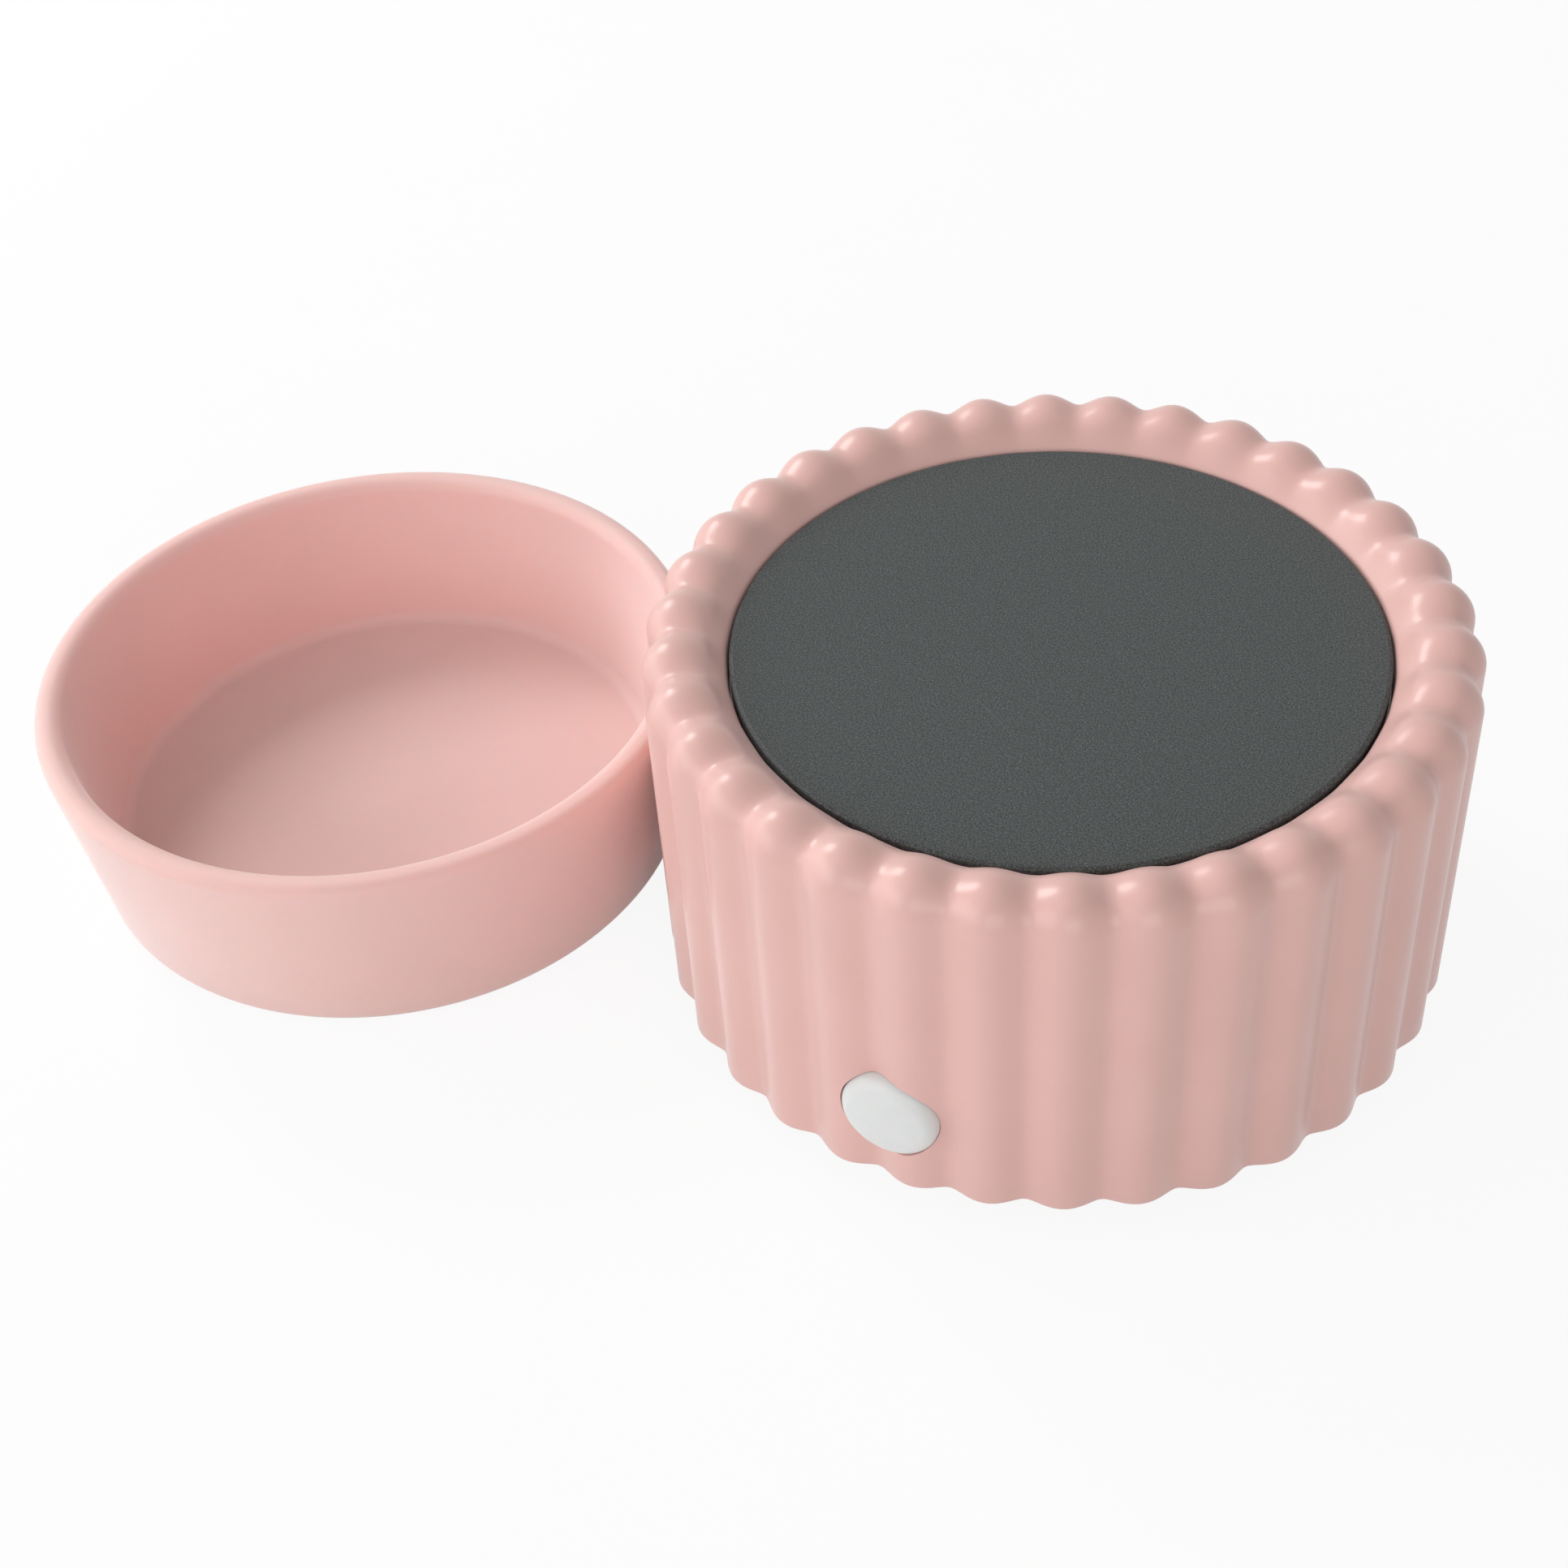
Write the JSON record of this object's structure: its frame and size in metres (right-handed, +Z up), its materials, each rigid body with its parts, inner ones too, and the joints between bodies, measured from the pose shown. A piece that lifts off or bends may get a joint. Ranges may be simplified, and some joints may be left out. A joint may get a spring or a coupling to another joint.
{
  "type": "wax melt warmer",
  "caption": "Round fluted ceramic wax melt warmer with a flat heating plate, a front push button and a loose silicone dish beside it.",
  "frame": {"origin": "on the table under the middle of the whole set's bounding box", "axes": "+Z up, -Y towards the push button at the front, +X from the dish towards the warmer"},
  "size_m": [0.2244, 0.1345, 0.0624],
  "materials": {
    "pink_glaze": "satin glaze",
    "plate_coating": "fine matt non-stick coating",
    "cover_plastic": "moulded",
    "foot_rubber": "matt",
    "gland_rubber": "matt",
    "steel": "zinc plated",
    "silicone": "matt",
    "pan_steel": "stamped",
    "mica": "laminated",
    "fibre": "pressed",
    "thermostat_plastic": "moulded",
    "fuse_case": "drawn",
    "switch_plastic": "moulded",
    "terminal_plastic": "moulded",
    "brass": "turned",
    "lead_brown": "insulation",
    "lead_white": "sleeved",
    "lead_blue": "insulation",
    "button_white": "milky satin",
    "pink_silicone": "matt"
  },
  "bodies": {
    "base": {"housing": "pink_glaze", "heating_plate": "plate_coating", "bottom_cover": "cover_plastic", "feet": "foot_rubber", "cord_gland": "gland_rubber", "plate_stud": "steel", "plate_gasket": "silicone", "seat_gasket": "silicone", "carrier_pan": "pan_steel", "heater_disc": "mica", "insulation_disc": "fibre", "pressure_plate": "steel", "heater_nut": "steel", "pan_nut": "steel", "thermostat": "thermostat_plastic", "thermal_fuse": "fuse_case", "pillars": "steel", "pillar_screws": "steel", "cover_screws": "steel", "switch_body": "switch_plastic", "switch_screws": "steel", "terminal_block": "terminal_plastic", "terminal_screws": "brass", "lead_supply": "lead_brown", "lead_switched": "lead_brown", "lead_heater": "lead_white", "lead_fuse": "lead_white", "lead_return": "lead_blue"},
    "button": {"button_cap": "button_white", "switch_plunger": "switch_plastic"},
    "dish": {"wax_dish": "pink_silicone"}
  },
  "joints": [
    {"name": "button_press", "type": "slide", "parent": "base", "child": "button", "axis": [0, 1, 0], "range_m": [0, 0.0015], "stiffness_N_per_m": 600, "springref_m": -0.001},
    {"name": "dish_lift", "type": "slide", "parent": "base", "child": "dish", "axis": [0, 0, 1], "range_m": [0, 0.1]}
  ]
}
